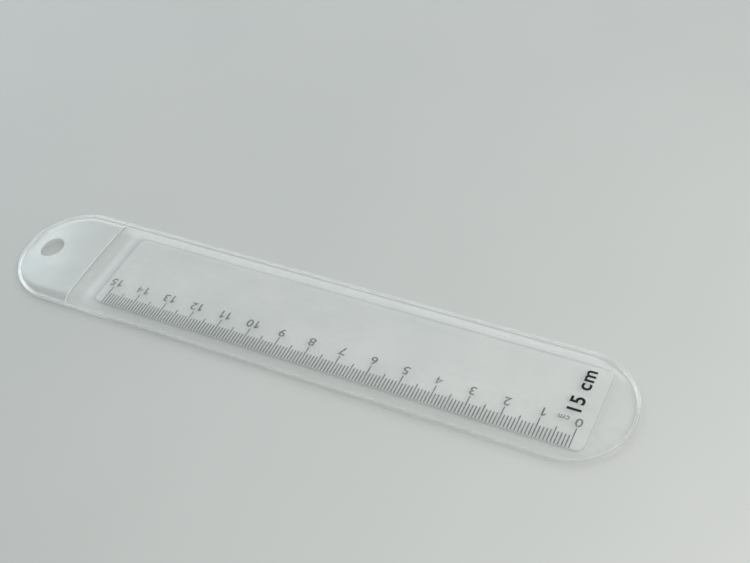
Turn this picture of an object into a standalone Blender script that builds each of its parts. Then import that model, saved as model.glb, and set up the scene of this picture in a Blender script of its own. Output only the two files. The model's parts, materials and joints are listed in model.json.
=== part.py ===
"""Clear plastic ruler in a soft vinyl hanging sleeve.

The sleeve is two vinyl sheets joined by a melted rim. A cross slit divides the front sheet into a pocket
film, which holds the ruler, and a header film over the punched hanging tab. The tab folds down at the slit.

Metres. +X runs to the closed round end, -Y is the ruler's scale edge, +Z is up, and the sleeve lies on Z = 0.
"""

import math

import bmesh
import bpy
import numpy as np

# Sleeve outline
SLEEVE_LENGTH = 0.2040
SLEEVE_WIDTH = 0.0374
BEAD_WIDTH = 0.0014
BEAD_HEIGHT = 0.0012
BEAD_CORNER = 0.0003
FILM = 0.00025
EDGE_GAP = 0.0003
SLIT_X = -0.0740
HOLE_X = -0.0920
HOLE_RADIUS = 0.0041

# Ruler
RULER_LENGTH = 0.1574
RULER_WIDTH = 0.0280
RULER_THICKNESS = 0.0008
RULER_CORNER = 0.0022
RULER_X = 0.0129
RULER_LIFT = 0.0005

# Undersides of the front films, above the bottom of the sleeve
RIM_RISE = 0.00048
POCKET_RISE = 0.00175
MOUTH_RISE = 0.00150
MOUTH_FALL = 0.0036
MOUTH_BOW = 0.00085
BOW_REACH = 0.0245
END_FALL = 0.00085
SKIRT = 0.0025
TENT_OVERLAP = 0.0018
DOMING = 1.7

ARC_STEPS = 24
HOLE_STEPS = 32
CUTTER_REACH = 0.01
MERGE_DISTANCE = 1e-6

HALF_WIDTH = SLEEVE_WIDTH / 2
ARC_CENTRE_X = SLEEVE_LENGTH / 2 - HALF_WIDTH
WELD_RADIUS = HALF_WIDTH - BEAD_WIDTH
FILM_RADIUS = WELD_RADIUS - EDGE_GAP
RULER_LEFT = RULER_X - RULER_LENGTH / 2
RULER_RIGHT = RULER_X + RULER_LENGTH / 2


def clear_scene():
    for obj in list(bpy.data.objects):
        bpy.data.objects.remove(obj, do_unlink=True)


def make_collection(name):
    collection = bpy.data.collections.new(name)
    bpy.context.scene.collection.children.link(collection)
    return collection


def make_material(name, colour, roughness, alpha=1.0):
    material = bpy.data.materials.new(name)
    material.use_nodes = True
    shader = material.node_tree.nodes["Principled BSDF"]
    shader.inputs["Base Color"].default_value = (*colour, 1.0)
    shader.inputs["Roughness"].default_value = roughness
    shader.inputs["Metallic"].default_value = 0.0
    shader.inputs["Alpha"].default_value = alpha
    return material


def add_object(name, data, collection, material=None):
    obj = bpy.data.objects.new(name, data)
    collection.objects.link(obj)
    if material is not None:
        data.materials.append(material)
    return obj


def mark_as_guide(obj):
    obj.hide_render = True
    obj.display_type = "WIRE"


def round_end(radius, side):
    """Half circle about the sleeve's round end: side +1 is the closed end, -1 the tab."""
    angle = np.linspace(-math.pi / 2, math.pi / 2, ARC_STEPS + 1)
    x = side * (ARC_CENTRE_X + radius * np.cos(angle))
    y = side * radius * np.sin(angle)
    return list(zip(x, y))


def end_outline(radius, side):
    """Closed outline of one end of the sleeve, from the slit line round its half circle."""
    x = SLIT_X + side * EDGE_GAP / 2
    return [(x, -side * radius), *round_end(radius, side), (x, side * radius)]


def rounded_rectangle(length, width, radius, steps=6):
    """Closed outline centred on the origin, with a quarter circle at each corner."""
    points = []
    for turn in range(4):
        corner_x = (length / 2 - radius) * (1 if turn in (0, 3) else -1)
        corner_y = (width / 2 - radius) * (1 if turn in (0, 1) else -1)
        for step in range(steps + 1):
            angle = (turn + step / steps) * math.pi / 2
            points.append((corner_x + radius * math.cos(angle), corner_y + radius * math.sin(angle)))
    return points


def circle(centre_x, radius):
    angle = np.linspace(0, 2 * math.pi, HOLE_STEPS, endpoint=False)
    return list(zip(centre_x + radius * np.cos(angle), radius * np.sin(angle)))


def flat_curve(name, outlines, half_height):
    """A filled 2D curve with straight walls. A second outline inside the first is a hole."""
    curve = bpy.data.curves.new(name, "CURVE")
    curve.dimensions = "2D"
    curve.fill_mode = "BOTH"
    curve.extrude = half_height
    for outline in outlines:
        spline = curve.splines.new("POLY")
        spline.points.add(len(outline) - 1)
        for point, (x, y) in zip(spline.points, outline):
            point.co = (x, y, 0.0, 1.0)
        spline.use_cyclic_u = True
    return curve


def mesh_from_curve(curve_object, collection):
    """Replace a curve with its welded mesh, in the same place."""
    depsgraph = bpy.context.evaluated_depsgraph_get()
    mesh = bpy.data.meshes.new_from_object(curve_object.evaluated_get(depsgraph))
    work = bmesh.new()
    work.from_mesh(mesh)
    bmesh.ops.remove_doubles(work, verts=work.verts, dist=MERGE_DISTANCE)
    bmesh.ops.recalc_face_normals(work, faces=work.faces)
    work.to_mesh(mesh)
    work.free()
    name = curve_object.name
    place = curve_object.matrix_world.copy()
    bpy.data.objects.remove(curve_object, do_unlink=True)
    obj = add_object(name, mesh, collection)
    obj.matrix_world = place
    return obj


def distance_to_weld(x, y):
    axis_x = np.clip(x, -ARC_CENTRE_X, ARC_CENTRE_X)
    return np.maximum(WELD_RADIUS - np.hypot(x - axis_x, y), 0.0)


def pocket_rise(x, y):
    """Underside of the pocket film: level over the ruler, a little lower at the mouth, down to the rim.

    The way down is (d / (d + w)) ** DOMING, with d the distance outside a line a little inside the ruler's
    edges and w the distance left to the weld.
    """
    along = np.clip((x - (RULER_LEFT - MOUTH_FALL)) / MOUTH_FALL, 0.0, 1.0)
    level = MOUTH_RISE + (POCKET_RISE - MOUTH_RISE) * along * along * (3 - 2 * along)
    outside_x = np.maximum(x - RULER_RIGHT + TENT_OVERLAP, 0.0)
    outside_y = np.maximum(np.abs(y) - RULER_WIDTH / 2 + TENT_OVERLAP, 0.0)
    outside = np.hypot(outside_x, outside_y)
    share = (outside / np.maximum(outside + distance_to_weld(x, y), 1e-9)) ** DOMING
    return level - (level - RIM_RISE) * share


def header_rise(x, y):
    """Underside of the header film: its free edge bows up in the middle, and it falls to the round end.

    The fall goes with the cube of the way to the end, and a short skirt takes the film down to the rim.
    """
    fall = np.clip((SLIT_X - x) / BOW_REACH, 0.0, 1.1) ** 3
    across = np.clip(1 - (y / WELD_RADIUS) ** 2, 0.0, 1.0)
    level = MOUTH_RISE - END_FALL * fall + MOUTH_BOW * across * (1 - fall)
    share = (1 - np.clip(distance_to_weld(x, y) / SKIRT, 0.0, 1.0)) ** 2
    return level - (level - RIM_RISE) * share


def film_mesh(name, x_stations, y_stations, rise):
    """An open sheet on a grid, lifted to its rise. Solidify gives it its thickness."""
    columns = len(x_stations)
    rows = len(y_stations)
    sheet = bmesh.new()
    bmesh.ops.create_grid(sheet, x_segments=columns - 1, y_segments=rows - 1, size=0.5)
    mesh = bpy.data.meshes.new(name)
    sheet.to_mesh(mesh)
    sheet.free()
    unit = np.empty(len(mesh.vertices) * 3)
    mesh.vertices.foreach_get("co", unit)
    unit = unit.reshape(-1, 3) + 0.5
    x = np.interp(unit[:, 0], np.linspace(0, 1, columns), x_stations)
    y = np.interp(unit[:, 1], np.linspace(0, 1, rows), y_stations)
    mesh.vertices.foreach_set("co", np.column_stack([x, y, rise(x, y)]).ravel())
    mesh.update()
    return mesh


def trim(obj, cutter, operation):
    modifier = obj.modifiers.new(operation.title(), "BOOLEAN")
    modifier.operation = operation
    modifier.solver = "EXACT"
    modifier.object = cutter


def thicken(obj):
    modifier = obj.modifiers.new("Thickness", "SOLIDIFY")
    modifier.thickness = FILM
    modifier.offset = 1.0


def prism(name, outline, collection):
    """An upright cutter with the given outline, taller than the whole sleeve."""
    curve = flat_curve(name, [outline], CUTTER_REACH)
    cutter = mesh_from_curve(add_object(name, curve, collection), collection)
    mark_as_guide(cutter)
    return cutter


def across_stations():
    """Grid lines across the sleeve: few over the ruler, close together on the slopes to the rim."""
    level_end = RULER_WIDTH / 2 - TENT_OVERLAP
    slope = np.linspace(RULER_WIDTH / 2, HALF_WIDTH, 6)
    level = np.linspace(-level_end, level_end, 9)
    return np.concatenate([-slope[::-1], level, slope])


def pocket_stations():
    """Grid lines along the pocket: close together at the mouth and round the closed end."""
    mouth = np.linspace(SLIT_X - EDGE_GAP, RULER_LEFT + EDGE_GAP, 6)
    middle = np.linspace(RULER_LEFT + BOW_REACH, ARC_CENTRE_X - BOW_REACH, 3)
    end = np.linspace(ARC_CENTRE_X, SLEEVE_LENGTH / 2, 11)
    return np.concatenate([mouth, middle, end])


def header_stations():
    return np.linspace(-SLEEVE_LENGTH / 2, SLIT_X + EDGE_GAP, 15)


def back_film(name, side, holes, collection, material):
    """One end of the flat back sheet."""
    curve = flat_curve(name, [end_outline(FILM_RADIUS, side), *holes], FILM / 2)
    obj = add_object(name, curve, collection, material)
    obj.location.z = FILM / 2
    return obj


def front_film(name, side, x_stations, rise, collection, guides, material):
    """One end of the front sheet, lifted by the ruler and trimmed to the rim and the slit."""
    mesh = film_mesh(name, x_stations, across_stations(), rise)
    obj = add_object(name, mesh, collection, material)
    thicken(obj)
    trim(obj, prism(name + "_outline", end_outline(FILM_RADIUS, side), guides), "INTERSECT")
    return obj


def weld_bead(name, side, profile, collection, material):
    """Half of the melted rim: the rim's section carried round one end of the sleeve."""
    curve = bpy.data.curves.new(name, "CURVE")
    curve.dimensions = "3D"
    curve.twist_mode = "Z_UP"
    curve.bevel_mode = "OBJECT"
    curve.bevel_object = profile
    curve.use_fill_caps = True
    path = end_outline(HALF_WIDTH - BEAD_WIDTH / 2, side)
    spline = curve.splines.new("POLY")
    spline.points.add(len(path) - 1)
    for point, (x, y) in zip(spline.points, path):
        point.co = (x, y, BEAD_HEIGHT / 2, 1.0)
    bead = mesh_from_curve(add_object(name, curve, collection), collection)
    bead.data.materials.append(material)
    return bead


def bead_profile(guides):
    outline = rounded_rectangle(BEAD_WIDTH, BEAD_HEIGHT, BEAD_CORNER, 2)
    profile = add_object("bead_profile", flat_curve("bead_profile", [outline], 0.0), guides)
    profile.data.fill_mode = "NONE"
    mark_as_guide(profile)
    return profile


def ruler_blade(collection, material):
    outline = rounded_rectangle(RULER_LENGTH, RULER_WIDTH, RULER_CORNER)
    curve = flat_curve("ruler_blade", [outline], RULER_THICKNESS / 2)
    blade = add_object("ruler_blade", curve, collection, material)
    blade.location = (RULER_X, 0.0, RULER_LIFT + RULER_THICKNESS / 2)
    return blade


def hang_tab(pieces, collection):
    """The tab's pieces hang from an empty on the fold line, at the bottom of the back film."""
    fold = bpy.data.objects.new("tab_fold", None)
    collection.objects.link(fold)
    fold.location = (SLIT_X, 0.0, 0.0)
    bpy.context.view_layer.update()
    for piece in pieces:
        piece.parent = fold
        piece.matrix_parent_inverse = fold.matrix_world.inverted()


def build():
    clear_scene()
    parts = make_collection("sleeved_ruler")
    guides = make_collection("guides")
    vinyl = make_material("clear_vinyl", (0.86, 0.90, 0.91), 0.12, 0.35)
    milky = make_material("milky_vinyl", (0.84, 0.88, 0.91), 0.25, 0.55)
    welded = make_material("welded_vinyl", (0.92, 0.95, 0.96), 0.10, 0.60)
    acrylic = make_material("clear_plastic", (0.85, 0.90, 0.89), 0.06, 0.30)

    ruler_blade(parts, acrylic)
    back_film("back_film", 1, [], parts, vinyl)
    front_film("pocket_film", 1, pocket_stations(), pocket_rise, parts, guides, vinyl)
    header = front_film("header_film", -1, header_stations(), header_rise, parts, guides, milky)
    trim(header, prism("hole_cutter", circle(HOLE_X, HOLE_RADIUS), guides), "DIFFERENCE")
    tab_back = back_film("tab_back_film", -1, [circle(HOLE_X, HOLE_RADIUS)], parts, milky)
    profile = bead_profile(guides)
    weld_bead("pocket_weld_bead", 1, profile, parts, welded)
    tab_bead = weld_bead("tab_weld_bead", -1, profile, parts, welded)
    hang_tab([header, tab_back, tab_bead], parts)


build()
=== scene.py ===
import json
import math

import bmesh
import bpy
import numpy as np
from mathutils import Matrix, Vector


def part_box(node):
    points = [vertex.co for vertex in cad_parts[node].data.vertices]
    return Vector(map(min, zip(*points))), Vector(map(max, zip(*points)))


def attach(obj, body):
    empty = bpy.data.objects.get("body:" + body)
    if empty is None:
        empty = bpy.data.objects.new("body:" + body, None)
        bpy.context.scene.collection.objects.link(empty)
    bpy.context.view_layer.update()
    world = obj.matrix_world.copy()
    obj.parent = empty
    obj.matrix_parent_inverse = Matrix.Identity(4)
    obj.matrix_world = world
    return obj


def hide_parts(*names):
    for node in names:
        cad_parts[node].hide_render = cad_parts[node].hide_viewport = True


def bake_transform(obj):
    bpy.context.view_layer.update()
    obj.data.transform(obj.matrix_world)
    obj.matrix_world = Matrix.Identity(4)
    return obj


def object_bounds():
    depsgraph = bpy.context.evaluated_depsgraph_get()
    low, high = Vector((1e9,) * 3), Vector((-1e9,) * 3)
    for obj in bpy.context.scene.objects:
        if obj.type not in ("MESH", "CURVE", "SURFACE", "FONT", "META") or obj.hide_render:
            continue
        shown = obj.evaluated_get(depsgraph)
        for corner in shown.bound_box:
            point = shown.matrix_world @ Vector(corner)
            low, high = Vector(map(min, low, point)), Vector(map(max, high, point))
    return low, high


# a clear 15 cm ruler in a soft vinyl hanging sleeve, lying on a pale desk

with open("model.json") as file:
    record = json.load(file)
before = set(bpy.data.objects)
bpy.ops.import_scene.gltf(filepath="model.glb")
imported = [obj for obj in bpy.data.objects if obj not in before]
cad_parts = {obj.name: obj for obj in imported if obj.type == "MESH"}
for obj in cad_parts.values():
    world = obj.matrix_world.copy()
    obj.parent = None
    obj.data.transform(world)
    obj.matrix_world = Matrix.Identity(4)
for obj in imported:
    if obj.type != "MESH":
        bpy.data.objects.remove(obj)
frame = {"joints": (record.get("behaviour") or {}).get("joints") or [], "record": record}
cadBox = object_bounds()
print("frame loaded, box", [round(value, 4) for corner in cadBox for value in corner])

mm = 0.001


def jointNamed(name):
    return next(joint for joint in frame["joints"] if joint["name"] == name)


# places that the pieces share, most of them read from the frame
holeBox = np.array(frame["record"]["physics"]["openings"][0]["box_m"])
rulerLow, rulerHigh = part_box("ruler_blade")
backLow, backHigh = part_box("back_film")
place = {
    "halfLength": cadBox[1].x,
    "halfWidth": cadBox[1].y,
    "foldX": jointNamed("tab_fold")["pos_m"][0],
    "holeX": holeBox[:, 0].mean(),
    "holeRadius": 4.1 * mm,
    "film": backHigh.z - backLow.z,
    "slitGap": 0.3 * mm,
}
place["arcX"] = place["halfLength"] - place["halfWidth"]


def addObject(name, data):
    # a new object in the scene, at the origin
    added = bpy.data.objects.new(name, data)
    bpy.context.scene.collection.objects.link(added)
    return added


def smoothMesh(mesh, sharpAngle=35):
    # smooth except where it turns by more than sharpAngle degrees
    mesh.shade_smooth()
    mesh.set_sharp_from_angle(angle=math.radians(sharpAngle))


def plainMesh(name, points, faces):
    # a mesh of an array of points and a list of faces
    mesh = bpy.data.meshes.new(name)
    mesh.from_pydata(points.reshape(-1, 3).tolist(), [], faces)
    return mesh


def meshPiece(name, points, faces, sharpAngle=35):
    # one smooth mesh object at the origin
    mesh = plainMesh(name, points, faces.tolist())
    smoothMesh(mesh, sharpAngle)
    return addObject(name, mesh)


def gridFaces(rows, columns, wrapRows=False, wrapColumns=False):
    # quads between neighbours (i, j), (i+1, j), (i+1, j+1), (i, j+1), joined round where it wraps
    rowSteps = np.arange(rows if wrapRows else rows - 1)
    columnSteps = np.arange(columns if wrapColumns else columns - 1)
    i, j = np.meshgrid(rowSteps, columnSteps, indexing="ij")
    nextI = (i + 1) % rows * columns
    nextJ = (j + 1) % columns
    return np.stack([i * columns + j, nextI + j, nextI + nextJ, i * columns + nextJ], -1).reshape(-1, 4)


def prismFaces(rings, count):
    # sides between rings of count points, and one cap over the first ring and one over the last
    sides = gridFaces(rings, count, wrapColumns=True).tolist()
    return [*sides, list(range(count))[::-1], list(range((rings - 1) * count, rings * count))]


def weld(piece, distance=0.002 * mm):
    # merge what meets, so that seams and poles close
    work = bmesh.new()
    work.from_mesh(piece.data)
    bmesh.ops.remove_doubles(work, verts=work.verts, dist=distance)
    bmesh.ops.dissolve_degenerate(work, edges=work.edges, dist=distance / 2)
    bmesh.ops.recalc_face_normals(work, faces=work.faces)
    work.to_mesh(piece.data)
    work.free()


def turnUp(piece):
    # an open sheet's faces all look up
    normals = np.empty(len(piece.data.polygons) * 3)
    piece.data.polygons.foreach_get("normal", normals)
    if normals.reshape(-1, 3)[:, 2].sum() < 0:
        piece.data.flip_normals()


def giveWall(piece, thickness, topMaterial, bottomMaterial, edgeMaterial, steepest=0.4):
    # Solidify upwards from an open sheet that looks up, then keep the result as the mesh; a face takes
    # its material by its normal's z: above steepest, below -steepest, or between them on the cut edges
    turnUp(piece)
    wall = piece.modifiers.new("wall", "SOLIDIFY")
    wall.thickness = thickness
    wall.offset = 1.0
    depsgraph = bpy.context.evaluated_depsgraph_get()
    solid = bpy.data.meshes.new_from_object(piece.evaluated_get(depsgraph))
    piece.modifiers.clear()
    piece.data = solid
    for material in (topMaterial, bottomMaterial, edgeMaterial):
        solid.materials.append(material)
    normals = np.empty(len(solid.polygons) * 3)
    solid.polygons.foreach_get("normal", normals)
    rise = normals.reshape(-1, 3)[:, 2]
    side = np.where(rise > steepest, 0, np.where(rise < -steepest, 1, 2))
    solid.polygons.foreach_set("material_index", side.astype(np.int32))
    smoothMesh(solid)


def smoothStep(value):
    # 3 s^2 - 2 s^3, with s kept from 0 to 1
    share = np.clip(value, 0.0, 1.0)
    return share * share * (3 - 2 * share)


def newMaterial(name):
    material = bpy.data.materials.new(name)
    material.use_nodes = True
    nodes = material.node_tree.nodes
    return material, nodes, material.node_tree.links, nodes["Principled BSDF"]


def noiseNode(nodes, links, scale, detail=3.0, stretch=(1.0, 1.0, 1.0)):
    # noise on Object coordinates, so it stays with the piece
    coordinates = nodes.new("ShaderNodeTexCoord")
    mapping = nodes.new("ShaderNodeMapping")
    mapping.inputs["Scale"].default_value = stretch
    noise = nodes.new("ShaderNodeTexNoise")
    noise.inputs["Scale"].default_value = scale
    noise.inputs["Detail"].default_value = detail
    links.new(coordinates.outputs["Object"], mapping.inputs["Vector"])
    links.new(mapping.outputs["Vector"], noise.inputs["Vector"])
    return noise


def rangeNode(nodes, links, source, low, high, fromLow=0.35, fromHigh=0.65):
    # noise mostly lies between fromLow and fromHigh, which become low and high
    spread = nodes.new("ShaderNodeMapRange")
    spread.inputs["From Min"].default_value = fromLow
    spread.inputs["From Max"].default_value = fromHigh
    spread.inputs["To Min"].default_value = low
    spread.inputs["To Max"].default_value = high
    links.new(source, spread.inputs["Value"])
    return spread.outputs["Result"]


def mixColour(nodes, links, share, colour, twin):
    # between two colours by a share from 0 to 1
    mix = nodes.new("ShaderNodeMix")
    mix.data_type = "RGBA"
    mix.inputs["A"].default_value = (*colour, 1.0)
    mix.inputs["B"].default_value = (*twin, 1.0)
    links.new(share, mix.inputs["Factor"])
    return mix.outputs["Result"]


def clearPlastic(name, look):
    # clear plastic: most light goes straight through, a little is lost to haze, and the surface shines by
    # shine + grazing * facing^5, the same from both sides; roughness wanders and fine noise dents it
    material, nodes, links, haze = newMaterial(name)
    through = nodes.new("ShaderNodeBsdfTransparent")
    through.inputs["Color"].default_value = (*look["tint"], 1.0)
    cloud = noiseNode(nodes, links, look["cloudScale"])
    clouding = rangeNode(nodes, links, cloud.outputs["Fac"], 0.0, 1.0)
    hazeTone = mixColour(nodes, links, clouding, look["hazeColour"], look["hazeTwin"])
    links.new(hazeTone, haze.inputs["Base Color"])
    haze.inputs["Roughness"].default_value = 0.6
    body = nodes.new("ShaderNodeMixShader")
    links.new(rangeNode(nodes, links, cloud.outputs["Fac"], *look["haze"]), body.inputs["Fac"])
    links.new(through.outputs["BSDF"], body.inputs[1])
    links.new(haze.outputs["BSDF"], body.inputs[2])
    grain = noiseNode(nodes, links, look["grainScale"], 2.0)
    bump = nodes.new("ShaderNodeBump")
    bump.inputs["Strength"].default_value = look["bumpStrength"]
    bump.inputs["Distance"].default_value = look["bumpDepth"]
    links.new(grain.outputs["Fac"], bump.inputs["Height"])
    shine = nodes.new("ShaderNodeBsdfGlossy")
    shine.inputs["Color"].default_value = (1.0, 1.0, 1.0, 1.0)
    handling = noiseNode(nodes, links, look["handlingScale"], 5.0, (1.0, 3.0, 1.0))
    rubbed = rangeNode(nodes, links, handling.outputs["Fac"], *look["roughness"])
    links.new(rubbed, shine.inputs["Roughness"])
    links.new(bump.outputs["Normal"], shine.inputs["Normal"])
    facing = nodes.new("ShaderNodeLayerWeight")
    facing.inputs["Blend"].default_value = 0.5
    steep = nodes.new("ShaderNodeMath")
    steep.operation = "POWER"
    steep.inputs[1].default_value = 5.0
    links.new(facing.outputs["Facing"], steep.inputs[0])
    links.new(bump.outputs["Normal"], facing.inputs["Normal"])
    share = nodes.new("ShaderNodeMath")
    share.operation = "MULTIPLY_ADD"
    share.inputs[1].default_value = look["grazing"]
    share.inputs[2].default_value = look["shine"]
    links.new(steep.outputs["Value"], share.inputs[0])
    surface = nodes.new("ShaderNodeMixShader")
    links.new(share.outputs["Value"], surface.inputs["Fac"])
    links.new(body.outputs["Shader"], surface.inputs[1])
    links.new(shine.outputs["BSDF"], surface.inputs[2])
    links.new(surface.outputs["Shader"], nodes["Material Output"].inputs["Surface"])
    return material


def ink(name, look):
    # printed ink: thin in places, so its colour wanders between full and worn
    material, nodes, links, shader = newMaterial(name)
    wear = noiseNode(nodes, links, look["wearScale"], 6.0)
    thin = rangeNode(nodes, links, wear.outputs["Fac"], 0.0, 1.0)
    tone = mixColour(nodes, links, thin, look["colour"], look["wornColour"])
    links.new(tone, shader.inputs["Base Color"])
    links.new(rangeNode(nodes, links, wear.outputs["Fac"], 0.4, 0.6), shader.inputs["Roughness"])
    shader.inputs["Specular IOR Level"].default_value = 0.2
    return material


filmLook = {
    "tint": (0.997, 1.0, 0.999),
    "hazeColour": (0.91, 0.93, 0.925),
    "hazeTwin": (0.95, 0.96, 0.955),
    "haze": (0.10, 0.12),
    "shine": 0.036,
    "grazing": 0.35,
    "cloudScale": 60.0,
    "roughness": (0.23, 0.29),
    "handlingScale": 60.0,
    "grainScale": 420.0,
    "bumpStrength": 0.12,
    "bumpDepth": 0.02 * mm,
}
innerLook = {**filmLook, "tint": (1.0, 1.0, 1.0), "haze": (0.0, 0.006), "shine": 0.006, "grazing": 0.02}
headerLook = {
    **filmLook,
    "hazeColour": (0.80, 0.82, 0.83),
    "hazeTwin": (0.84, 0.86, 0.865),
    "haze": (0.13, 0.15),
    "shine": 0.068,
    "roughness": (0.30, 0.34),
    "bumpStrength": 0.05,
}
headerInnerLook = {
    **innerLook,
    "hazeColour": (0.54, 0.57, 0.56),
    "hazeTwin": (0.57, 0.60, 0.59),
    "haze": (0.21, 0.24),
}
rimLook = {
    **filmLook,
    "haze": (0.10, 0.14),
    "shine": 0.115,
    "grazing": 0.6,
    "roughness": (0.06, 0.10),
    "bumpStrength": 0.04,
}
# the header's cut edges: thick near-white haze, a painted highlight for the bright line where a cut edge
# catches the light
paintedHighlightEdgeLook = {
    **filmLook,
    "hazeColour": (0.95, 0.97, 0.96),
    "hazeTwin": (0.98, 0.99, 0.99),
    "haze": (0.75, 0.9),
}
softEdgeLook = {**filmLook, "tint": (0.92, 0.95, 0.94), "haze": (0.10, 0.16), "grazing": 0.1}
bladeLook = {
    **filmLook,
    "haze": (0.12, 0.14),
    "shine": 0.014,
    "grazing": 0.10,
    "roughness": (0.03, 0.07),
    "bumpStrength": 0.06,
}
# the ruler's rounded edge faces: greyer tint and dark grey haze, painted shade for the dark lines that
# refraction draws along a clear edge
bladeEdgeShadeLook = {
    **bladeLook,
    "tint": (0.86, 0.89, 0.885),
    "hazeColour": (0.40, 0.43, 0.42),
    "hazeTwin": (0.45, 0.48, 0.47),
    "haze": (0.20, 0.28),
    "shine": 0.004,
    "grazing": 0.03,
}
scaleInkLook = {"colour": (0.025, 0.034, 0.034), "wornColour": (0.09, 0.11, 0.108), "wearScale": 700.0}
labelInkLook = {"colour": (0.004, 0.004, 0.004), "wornColour": (0.015, 0.015, 0.015), "wearScale": 500.0}


sleeveLook = {
    "rimWidth": 1.4 * mm,
    "rimRise": 0.48 * mm,
    "pocketRise": 1.75 * mm,
    "mouthRise": 1.50 * mm,
    "mouthFall": 3.6 * mm,
    "mouthBow": 0.85 * mm,
    "bowReach": 24.5 * mm,
    "endFall": 0.85 * mm,
    "skirt": 2.5 * mm,
    "tentOverlap": 1.8 * mm,
    "ripple": 0.012 * mm,
    "rippleWaves": ((210, 90, 0.0, 1.0), (95, -260, 1.3, 0.7), (420, 310, 0.4, 0.5)),
    "doming": 1.7,
    "sunkIntoRim": 0.35 * mm,
    "foldZone": 3 * mm,
    "foldReach": 1.4 * mm,
}
weldRadius = place["halfWidth"] - sleeveLook["rimWidth"]
filmRadius = weldRadius + sleeveLook["sunkIntoRim"]


def ripples(x, y):
    # slow waves of soft film: the weighed mean of weight * sin(a x + b y + phase)
    waves = sleeveLook["rippleWaves"]
    total = sum(weight * np.sin(x * a + y * b + phase) for a, b, phase, weight in waves)
    return sleeveLook["ripple"] * total / sum(weight for *_, weight in waves)


def tentShare(x, y):
    # 0 over the ruler, 1 at the weld: (d / (d + w)) ^ doming, with d the distance outside the ruler and w
    # the distance left to the weld; the film leaves the ruler a little inside its edges
    outX = np.maximum(x - rulerHigh.x + sleeveLook["tentOverlap"], 0.0)
    outY = np.maximum(np.abs(y) - rulerHigh.y + sleeveLook["tentOverlap"], 0.0)
    fromRuler = np.hypot(outX, outY)
    axisX = np.clip(x, -place["arcX"], place["arcX"])
    toWeld = np.maximum(weldRadius - np.hypot(x - axisX, y), 0.0)
    return (fromRuler / np.maximum(fromRuler + toWeld, 1e-9)) ** sleeveLook["doming"]


def pocketRise(x, y):
    # underside of the pocket film: a level over the ruler, lower at the mouth, less tentShare of its
    # height over the rim; the ripples fade the same way
    along = smoothStep((x - (rulerLow.x - sleeveLook["mouthFall"])) / sleeveLook["mouthFall"])
    level = sleeveLook["mouthRise"] + (sleeveLook["pocketRise"] - sleeveLook["mouthRise"]) * along
    share = tentShare(x, y)
    return level - (level - sleeveLook["rimRise"]) * share + ripples(x, y) * (1 - share)


def headerRise(x, y):
    # underside of the header film: level + bow * (1 - (y / w)^2) at the free edge, falling by u^3 to the
    # round end, u the share of the way there, and by (1 - d)^2 to the rim, d the share of the skirt's width
    u = np.clip((place["foldX"] - x) / sleeveLook["bowReach"], 0.0, 1.1) ** 3
    across = np.clip(1 - (y / weldRadius) ** 2, 0.0, 1.0)
    level = sleeveLook["mouthRise"] - sleeveLook["endFall"] * u + sleeveLook["mouthBow"] * across * (1 - u)
    axisX = np.clip(x, -place["arcX"], place["arcX"])
    toWeld = np.clip((weldRadius - np.hypot(x - axisX, y)) / sleeveLook["skirt"], 0.0, 1.0)
    share = (1 - toWeld) ** 2
    return level - (level - sleeveLook["rimRise"]) * share + ripples(x, y) * (1 - share)


def acrossStations(count, crowding=0.55):
    # shares of the half width, -1 to 1, close together towards the rim: c sin(a) + (1 - c) a / 90 degrees
    angle = np.linspace(-math.pi / 2, math.pi / 2, count)
    return crowding * np.sin(angle) + (1 - crowding) * angle / (math.pi / 2)


def halfWidthAt(x, radius):
    # half width of the sleeve's outline at x: straight, then sqrt(r^2 - (x - arc)^2) round the ends
    beyond = np.maximum(np.abs(x) - place["arcX"], 0.0)
    return np.sqrt(np.maximum(radius * radius - beyond * beyond, 0.0))


def tabOutline(radius, edgeX, arcSteps, sideSteps, edgeStations):
    # closed outline of the tab's end, from the slit's near corner round the arc and back along the slit
    angle = np.linspace(0.0, math.pi, arcSteps + 1)
    arc = np.column_stack([-place["arcX"] - radius * np.sin(angle), -radius * np.cos(angle)])
    sideX = np.linspace(edgeX, -place["arcX"], sideSteps, endpoint=False)
    near = np.column_stack([sideX, np.full(sideSteps, -radius)])
    far = np.column_stack([sideX[::-1], np.full(sideSteps, radius)])
    edge = np.column_stack([np.full(len(edgeStations), edgeX), edgeStations * radius])
    return np.vstack([near, arc, far, edge[::-1][1:-1]])


def sheetRoundHole(outline, rings):
    # points between the punched hole and an outline, on rays from the hole's centre:
    # hole + share * (outline - hole)
    centre = np.array([place["holeX"], 0.0])
    ray = outline - centre
    hole = centre + place["holeRadius"] * ray / np.linalg.norm(ray, axis=1, keepdims=True)
    share = np.linspace(0.0, 1.0, rings)[:, None, None]
    return hole + share * (outline - hole)


filmGrid = {
    "across": 81,
    "mouthRows": 40,
    "lengthRows": 150,
    "endRows": 60,
    "headerRings": 44,
    "backAcross": 31,
    "backRings": 12,
    "backFoldRows": 25,
    "backMouthRows": 6,
    "backLengthRows": 12,
    "backEndRows": 40,
    "arcSteps": 96,
    "sideSteps": 14,
}


def tabSheet(edgeX, rise, edgeStations, rings):
    # rings of the tab's sheet from the hole to the outline, at the height that rise gives
    outline = tabOutline(filmRadius, edgeX, filmGrid["arcSteps"], filmGrid["sideSteps"], edgeStations)
    flat = sheetRoundHole(outline, rings)
    x, y = flat[..., 0], flat[..., 1]
    return np.stack([x, y, rise(x, y)], -1), gridFaces(rings, flat.shape[1], wrapColumns=True)


def pocketSheet(rise, edgeStations, xStations):
    # rows across the sleeve at each x; the last row is the round end's pole
    halfWidths = halfWidthAt(xStations, filmRadius)
    x = np.broadcast_to(xStations[:, None], (len(xStations), len(edgeStations)))
    y = halfWidths[:, None] * edgeStations[None, :]
    return np.stack([x, y, rise(x, y)], -1), gridFaces(*x.shape)


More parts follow.
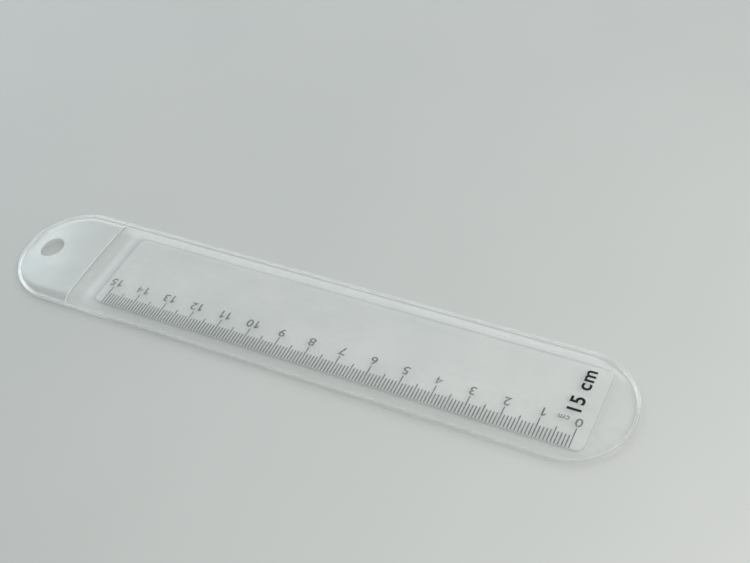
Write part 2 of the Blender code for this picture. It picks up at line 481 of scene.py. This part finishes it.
def alongStations(edgeX, mouthRows, lengthRows, endRows):
    # x of the rows: close together by the mouth, then the ruler's length, then evenly round the closed end
    mouthEnd = rulerLow.x + 2 * mm
    mouth = np.linspace(edgeX, mouthEnd, mouthRows)
    length = np.linspace(mouthEnd, place["arcX"], lengthRows)[1:]
    end = place["arcX"] + filmRadius * np.sin(np.linspace(0, math.pi / 2, endRows))[1:]
    return np.concatenate([mouth, length, end])


def flatRise(x, y):
    # the back film lies at 0 all over
    return np.zeros_like(x)


def softenHoleEdge(piece, material):
    # the punched hole's wall, found by its distance from the hole's centre, takes its own material
    centres = np.empty(len(piece.data.polygons) * 3)
    piece.data.polygons.foreach_get("center", centres)
    centres = centres.reshape(-1, 3)
    fromHole = np.hypot(centres[:, 0] - place["holeX"], centres[:, 1]) - place["holeRadius"]
    side = np.empty(len(fromHole), dtype=np.int32)
    piece.data.polygons.foreach_get("material_index", side)
    piece.data.materials.append(material)
    side[(fromHole < 0.001 * mm) & (side == 2)] = 3
    piece.data.polygons.foreach_set("material_index", side)


def bendAtFold(piece):
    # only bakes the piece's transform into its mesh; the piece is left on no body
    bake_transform(piece)


def makePocketFilm(stations, clear, inner, softEdge):
    edgeX = place["foldX"] + place["slitGap"] / 2
    rows = alongStations(edgeX, filmGrid["mouthRows"], filmGrid["lengthRows"], filmGrid["endRows"])
    points, faces = pocketSheet(pocketRise, stations, rows)
    pocket = meshPiece("pocketFilm", points, faces)
    weld(pocket)
    giveWall(pocket, place["film"], clear, inner, softEdge)
    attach(pocket, "sleeve")
    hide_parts("pocket_film")


def makeHeaderFilm(stations, paintedHighlightEdge, softEdge):
    edgeX = place["foldX"] - place["slitGap"] / 2
    points, faces = tabSheet(edgeX, headerRise, stations, filmGrid["headerRings"])
    header = meshPiece("headerFilm", points, faces)
    weld(header)
    milky = clearPlastic("milkyVinyl", headerLook)
    giveWall(header, place["film"], milky, clearPlastic("milkyInner", headerInnerLook), paintedHighlightEdge)
    softenHoleEdge(header, softEdge)
    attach(header, "tab")
    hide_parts("header_film")


def makeBackFilm(clear, inner, softEdge):
    # one sheet from end to end: the tab's part round the hole, and the pocket's part, meeting at a row
    stations = acrossStations(filmGrid["backAcross"])
    seamX = place["foldX"] - sleeveLook["foldZone"]
    foldEndX = place["foldX"] + sleeveLook["foldZone"]
    tabPoints, tabFaces = tabSheet(seamX, flatRise, stations, filmGrid["backRings"])
    foldRows = np.linspace(seamX, foldEndX, filmGrid["backFoldRows"])
    rows = alongStations(
        foldEndX, filmGrid["backMouthRows"], filmGrid["backLengthRows"], filmGrid["backEndRows"]
    )
    pocketPoints, pocketFaces = pocketSheet(flatRise, stations, np.concatenate([foldRows, rows[1:]]))
    points = np.vstack([tabPoints.reshape(-1, 3), pocketPoints.reshape(-1, 3)])
    faces = np.vstack([tabFaces, pocketFaces + tabPoints.size // 3])
    back = meshPiece("backFilm", points, faces)
    weld(back)
    giveWall(back, place["film"], inner, clear, softEdge)
    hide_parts("back_film", "tab_back_film")
    bendAtFold(back)


def makeFilms():
    # near-white cut edges of the header film: a painted highlight
    paintedHighlightEdge = clearPlastic("paintedHighlightEdgeVinyl", paintedHighlightEdgeLook)
    softEdge = clearPlastic("softEdgeVinyl", softEdgeLook)
    clear = clearPlastic("clearVinyl", filmLook)
    inner = clearPlastic("innerVinyl", innerLook)
    stations = acrossStations(filmGrid["across"])
    makePocketFilm(stations, clear, inner, softEdge)
    makeHeaderFilm(stations, paintedHighlightEdge, softEdge)
    makeBackFilm(clear, inner, softEdge)
    print("films made")


rimShape = {
    "outerRidge": (0.62, 0.15 * mm, 0.10, 0.26),
    "innerRidge": (0.14, 0.17 * mm, 0.09, 0.22),
    "base": 0.90 * mm,
    "endPower": 8,
    "footLift": 0.1 * mm,
    "foldWidth": 6 * mm,
    "foldCrowding": 0.35,
    "profileSteps": 44,
    "arcSteps": 90,
    "sideSteps": 160,
}


def rimProfile():
    # closed section of the rim, n from 0 inside to 1 outside: two ridges over a flat foot, each
    # rise * exp(-((n - centre) / spread)^2), steep towards the film and gentle outwards, and both ends
    # closed by (1 - |2n - 1|^p)^0.5
    n = np.linspace(0, 1, rimShape["profileSteps"])
    height = np.full_like(n, rimShape["base"])
    for centre, rise, steep, gentle in (rimShape["outerRidge"], rimShape["innerRidge"]):
        spread = np.where(n < centre, steep, gentle)
        height = height + rise * np.exp(-(((n - centre) / spread) ** 2))
    ends = (1 - np.abs(2 * n - 1) ** rimShape["endPower"]) ** 0.5
    foot = rimShape["footLift"] * (1 - ends)
    top = np.column_stack([n, foot + (height - foot) * ends])
    bottom = np.column_stack([n[::-1], foot[::-1]])
    outline = np.vstack([top, bottom[1:-1]])
    outline[:, 0] *= sleeveLook["rimWidth"]
    return outline


def rimPath():
    # closed line for the rim, with its outward direction: two half circles and two straight sides, whose
    # points are denser at the fold by fold + (x - fold) * (c + (1 - c) * (1 - exp(-((x - fold) / w)^2)))
    angle = np.linspace(-math.pi / 2, math.pi / 2, rimShape["arcSteps"], endpoint=False)
    share = np.linspace(0, 1, rimShape["sideSteps"], endpoint=False)
    straight = place["arcX"] * (1 - 2 * share)
    fromFold = straight - place["foldX"]
    pull = 1 - np.exp(-((fromFold / rimShape["foldWidth"]) ** 2))
    crowding = rimShape["foldCrowding"]
    straight = place["foldX"] + fromFold * (crowding + (1 - crowding) * pull)
    straight[0] = place["arcX"]
    arcX = np.full_like(angle, place["arcX"])
    rightArc = np.column_stack([arcX, np.zeros_like(angle), np.cos(angle), np.sin(angle)])
    farSide = np.column_stack([straight, 0 * straight, 0 * straight, 0 * straight + 1])
    leftArc = np.column_stack([-rightArc[:, 0], rightArc[:, 1], -rightArc[:, 2], -rightArc[:, 3]])
    nearSide = np.column_stack([straight[::-1], 0 * straight, 0 * straight, 0 * straight - 1])
    path = np.vstack([rightArc, farSide, leftArc, nearSide])
    return path[:, :2], path[:, 2:]


def makeRim():
    # the section carried along the path: its n points outwards, its height up
    centre, outward = rimPath()
    profile = rimProfile()
    reach = weldRadius + profile[None, :, 0, None]
    flat = centre[:, None, :] + outward[:, None, :] * reach
    height = np.broadcast_to(profile[None, :, 1], flat.shape[:2])
    points = np.concatenate([flat, height[..., None]], -1)
    rim = meshPiece("weldRim", points, gridFaces(*flat.shape[:2], wrapRows=True, wrapColumns=True), 50)
    weld(rim)
    rim.data.shade_smooth()
    rim.data.materials.append(clearPlastic("weldedVinyl", rimLook))
    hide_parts("pocket_weld_bead", "tab_weld_bead")
    bendAtFold(rim)
    print("rim made")


bladeShape = {"corner": 2.2 * mm, "edge": 0.16 * mm, "cornerSteps": 14, "edgeSteps": 5}


def roundedRectangle(halfLength, halfWidth, radius, steps):
    # quarter circles at the four corners, counter-clockwise: +-(half - r) + r cos a, and the same with sin a
    turn = np.repeat(np.arange(4), steps + 1)
    angle = (turn + np.tile(np.linspace(0, 1, steps + 1), 4)) * math.pi / 2
    signX = np.where((turn == 0) | (turn == 3), 1, -1)
    signY = np.where(turn < 2, 1, -1)
    x = signX * (halfLength - radius) + radius * np.cos(angle)
    y = signY * (halfWidth - radius) + radius * np.sin(angle)
    return np.column_stack([x, y])


def makeBlade():
    # the outline carried down a rounded edge: inset e * (1 - cos a), height e * sin a, then flat faces
    low, high = rulerLow, rulerHigh
    middle = (low + high) / 2
    half = (high - low) / 2
    edge = bladeShape["edge"]
    angle = np.linspace(0, math.pi / 2, bladeShape["edgeSteps"])
    inset = edge * (1 - np.cos(np.concatenate([angle[::-1], angle])))
    under = low.z + edge * (1 - np.sin(angle[::-1]))
    over = high.z - edge * (1 - np.sin(angle))
    height = np.concatenate([under, over])
    corner, steps = bladeShape["corner"], bladeShape["cornerSteps"]
    rings = [roundedRectangle(half.x - d, half.y - d, corner - d, steps) for d in inset]
    flat = np.array(rings) + np.array([middle.x, middle.y])
    points = np.concatenate([flat, np.broadcast_to(height[:, None, None], (*flat.shape[:2], 1))], -1)
    mesh = plainMesh("rulerBlade", points, prismFaces(*flat.shape[:2]))
    smoothMesh(mesh)
    blade = addObject("rulerBlade", mesh)
    weld(blade)
    blade.data.materials.append(clearPlastic("rulerPlastic", bladeLook))
    # the edge faces take the dark material: painted shade along the ruler's edges
    blade.data.materials.append(clearPlastic("rulerEdgePaintedShade", bladeEdgeShadeLook))
    onShadedEdge = [int(len(face.vertices) <= 4) for face in blade.data.polygons]  # the two flat faces have more
    blade.data.polygons.foreach_set("material_index", onShadedEdge)
    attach(blade, "ruler")
    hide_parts("ruler_blade")
    print("blade made")


scaleShape = {
    "zeroInset": 3.7 * mm,
    "centimetres": 15,
    "millimetreTick": (0.34 * mm, 3.9 * mm),
    "halfTick": (0.34 * mm, 5.2 * mm),
    "centimetreTick": (0.34 * mm, 6.4 * mm),
    "edgeInset": 0.18 * mm,
    "thickness": 0.02 * mm,
    "lift": 0.01 * mm,
    "figureHeight": 2.8 * mm,
    "figurePitch": 2.15 * mm,
    "figureWiden": 1.15,
    "figureBase": 10.0 * mm,
    "bold": 0.03 * mm,
    "boldFour": -0.04 * mm,
    "stem": 0.46 * mm,
    "flagReach": 0.26,
    "flagDrop": 0.20,
    "flagTip": 1.2,
    "flagRoot": 1.3,
    "unitHeight": 1.9 * mm,
    "unitBold": 0.018 * mm,
    "unitAt": (-4.4 * mm, 0.2 * mm),
}
textHeight = 0.73  # height of the built-in font's figures at size 1
letterSpace = 1.12
inkWeld = 0.001 * mm
inkLevel = rulerHigh.z + scaleShape["lift"]


def makeTicks(material):
    # one thin slab for each millimetre, longer at 5 and 10: a unit box scaled and moved for all at once
    count = scaleShape["centimetres"] * 10 + 1
    k = np.arange(count)
    shortSizes = np.where((k % 5 == 0)[:, None], scaleShape["halfTick"], scaleShape["millimetreTick"])
    sizes = np.where((k % 10 == 0)[:, None], scaleShape["centimetreTick"], shortSizes)
    zeroX = rulerHigh.x - scaleShape["zeroInset"]
    corner = np.array([[-0.5, 0, 0], [0.5, 0, 0], [0.5, 1, 0], [-0.5, 1, 0]])
    corner = np.vstack([corner, corner + [0, 0, 1]])
    size = np.column_stack([sizes, np.full(count, scaleShape["thickness"])])
    footY = rulerLow.y + scaleShape["edgeInset"]
    foot = np.column_stack([zeroX - k * mm, np.full(count, footY), np.full(count, inkLevel)])
    points = foot[:, None, :] + corner[None] * size[:, None, :]
    box = np.array([[3, 2, 1, 0], [4, 5, 6, 7], [0, 1, 5, 4], [1, 2, 6, 5], [2, 3, 7, 6], [3, 0, 4, 7]])
    faces = box[None] + 8 * k[:, None, None]
    ticks = meshPiece("scaleTicks", points, faces.reshape(-1, 4))
    ticks.data.materials.append(material)
    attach(ticks, "ruler")


def textMesh(name, words, height, bold, thickness, turn, spot, widen=1.0):
    # plain sans figures made a mesh, turned about Z and centred on spot
    curve = bpy.data.curves.new(name, "FONT")
    curve.body = words
    curve.size = 1.0
    curve.align_x = "CENTER"
    curve.align_y = "CENTER"
    curve.space_character = letterSpace
    holder = addObject(name, curve)
    scale = height / textHeight
    curve.offset = bold / scale
    curve.extrude = thickness / scale / 2
    bpy.context.view_layer.update()
    mesh = bpy.data.meshes.new_from_object(holder.evaluated_get(bpy.context.evaluated_depsgraph_get()))
    bpy.data.objects.remove(holder)
    mesh.name = name
    spread = Matrix.Diagonal((scale * widen, scale, scale, 1.0))
    mesh.transform(Matrix.Translation(spot) @ Matrix.Rotation(turn, 4, "Z") @ spread)
    piece = addObject(name, mesh)
    weld(piece, inkWeld)
    return piece


def joinPieces(pieces, name):
    # one new piece of all their meshes
    work = bmesh.new()
    for piece in pieces:
        work.from_mesh(piece.data)
    mesh = bpy.data.meshes.new(name)
    work.to_mesh(mesh)
    work.free()
    for piece in pieces:
        bpy.data.objects.remove(piece)
    return addObject(name, mesh)


def oneMesh(name, height, stroke, thickness, spot):
    # a figure 1 with its flag, upside down: an outline through the stem and the flag, carried up
    half = stroke / 2
    top = height / 2
    tipX = -half - scaleShape["flagReach"] * height
    tipY = top - scaleShape["flagDrop"] * height
    tipLow = tipY - scaleShape["flagTip"] * stroke
    rootLow = top - scaleShape["flagRoot"] * stroke
    stem = [[-half, -top], [half, -top], [half, top], [-half, top]]
    flag = [[tipX, tipY], [tipX, tipLow], [-half, rootLow]]
    outline = np.array([spot[0], spot[1]]) - np.array(stem + flag)
    low = np.column_stack([outline, np.full(len(outline), spot[2] - thickness / 2)])
    points = np.vstack([low, low + [0, 0, thickness]])
    piece = addObject(name, plainMesh(name, points, prismFaces(2, len(outline))))
    weld(piece, inkWeld)
    return piece


def figureMesh(digit, name, spot):
    # one figure of the scale, read from the far side
    height, thickness = scaleShape["figureHeight"], scaleShape["thickness"]
    if digit == "1":
        return oneMesh(name, height, scaleShape["stem"], thickness, spot)
    bold = scaleShape["boldFour"] if digit == "4" else scaleShape["bold"]  # a bold 4 would close up
    return textMesh(name, digit, height, bold, thickness, math.pi, spot, scaleShape["figureWiden"])


def makeScale():
    material = ink("scaleInk", scaleInkLook)
    makeTicks(material)
    zeroX = rulerHigh.x - scaleShape["zeroInset"]
    figureY = rulerLow.y + scaleShape["figureBase"] - scaleShape["figureHeight"] / 2
    level = inkLevel + scaleShape["thickness"] / 2
    pitch = scaleShape["figurePitch"]
    figures = []
    for number in range(scaleShape["centimetres"] + 1):
        digits = str(number)
        for order, digit in enumerate(digits):
            x = zeroX - number * 10 * mm + pitch * ((len(digits) - 1) / 2 - order)
            figures.append(figureMesh(digit, f"figure{number}{digit}", (x, figureY, level)))
    unitX, unitY = scaleShape["unitAt"]
    unitSpot = (zeroX + unitX, figureY + unitY, level)
    unitHeight, unitBold = scaleShape["unitHeight"], scaleShape["unitBold"]
    figures.append(textMesh("unit", "cm", unitHeight, unitBold, scaleShape["thickness"], math.pi, unitSpot))
    scale = joinPieces(figures, "scaleFigures")
    scale.data.materials.append(material)
    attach(scale, "ruler")
    print("scale printed")


labelShape = {
    "words": "15 cm",
    "height": 4.1 * mm,
    "bold": 0.12 * mm,
    "thickness": 0.02 * mm,
    "overRipples": 1.6,
    "fromZero": 2.3 * mm,
    "across": 3.9 * mm,
}


def makeLabel():
    # a plain size mark on the pocket film over the ruler's zero end, reading away from the scale edge
    zeroX = rulerHigh.x - scaleShape["zeroInset"]
    top = sleeveLook["pocketRise"] + place["film"] + labelShape["overRipples"] * sleeveLook["ripple"]
    spot = (zeroX - labelShape["fromZero"], labelShape["across"], top)
    words, height, bold = labelShape["words"], labelShape["height"], labelShape["bold"]
    label = textMesh("sizeLabel", words, height, bold, labelShape["thickness"], math.pi / 2, spot)
    label.data.materials.append(ink("labelInk", labelInkLook))
    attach(label, "sleeve")
    print("label printed")


stageLook = {
    "floorColour": (0.455, 0.475, 0.465),
    "floorTwin": (0.475, 0.49, 0.48),
    "cloudScale": 9.0,
    "roughness": 0.55,
    "size": 6.0,
    "gapUnder": 0.05 * mm,
    "worldColour": (0.92, 0.95, 0.94),
    "worldStrength": 0.30,
}
lamps = {
    "leftWindow": {"watts": 15.5, "size": (1.1, 1.5), "at": (-1.67, 0.42, 0.80), "tint": (0.84, 0.96, 1.0)},
    "farWindow": {"watts": 19.0, "size": (1.9, 1.0), "at": (-0.95, 1.51, 0.51), "tint": (0.92, 0.98, 1.0)},
    "sidePanel": {"watts": 5.0, "size": (0.9, 0.5), "at": (0.45, 1.35, 0.62), "tint": (1.0, 0.99, 0.97)},
    "fill": {"watts": 2.45, "size": (0.35, 0.35), "at": (0.41, -0.12, 0.31), "tint": (1.0, 0.96, 0.93)},
}


def makeFloor():
    # one square of desk top, just under the sleeve
    size = stageLook["size"]
    corners = np.array([[-size, -size, 0], [size, -size, 0], [size, size, 0], [-size, size, 0]]) / 2
    corners[:, 2] = cadBox[0].z - stageLook["gapUnder"]
    floor = meshPiece("floor", corners, np.array([[0, 1, 2, 3]]))
    material, nodes, links, shader = newMaterial("deskTop")
    cloud = noiseNode(nodes, links, stageLook["cloudScale"])
    patch = rangeNode(nodes, links, cloud.outputs["Fac"], 0.0, 1.0)
    tone = mixColour(nodes, links, patch, stageLook["floorColour"], stageLook["floorTwin"])
    links.new(tone, shader.inputs["Base Color"])
    shader.inputs["Roughness"].default_value = stageLook["roughness"]
    floor.data.materials.append(material)


def softLamp(name, look):
    # a rectangle of light that faces the object; only the fill leaves no mirror image in the films
    lamp = bpy.data.lights.new(name, "AREA")
    lamp.shape = "RECTANGLE"
    lamp.size, lamp.size_y = look["size"]
    lamp.energy = look["watts"]
    lamp.color = look["tint"]
    holder = addObject(name, lamp)
    holder.location = look["at"]
    holder.rotation_euler = (-Vector(look["at"])).to_track_quat("-Z", "Y").to_euler()
    holder.visible_glossy = name != "fill"
    holder.visible_camera = False


def makeLight():
    for name, look in lamps.items():
        softLamp(name, look)
    world = bpy.data.worlds.new("room")
    world.use_nodes = True
    background = world.node_tree.nodes["Background"]
    background.inputs["Color"].default_value = (*stageLook["worldColour"], 1.0)
    background.inputs["Strength"].default_value = stageLook["worldStrength"]
    bpy.context.scene.world = world
    bpy.context.scene.view_settings.view_transform = "Standard"
    bpy.context.scene.cycles.transparent_max_bounces = 32


cameraLook = {
    "at": (0.1463, -0.1715, 0.2484),
    "target": (0.0140, 0.0228, 0.0),
    "roll": -11.03,
    "lens": 54.64,
}


def makeCamera():
    camera = bpy.data.cameras.new("camera")
    camera.lens = cameraLook["lens"]
    camera.sensor_width = 36.0
    camera.clip_start = 0.01
    holder = addObject("camera", camera)
    aim = (Vector(cameraLook["target"]) - Vector(cameraLook["at"])).to_track_quat("-Z", "Y")
    roll = Matrix.Rotation(math.radians(cameraLook["roll"]), 4, "Z")
    holder.matrix_world = Matrix.Translation(cameraLook["at"]) @ aim.to_matrix().to_4x4() @ roll
    bpy.context.scene.camera = holder


makeCamera()
makeFilms()
makeRim()
makeBlade()
makeScale()
makeLabel()
makeFloor()
makeLight()
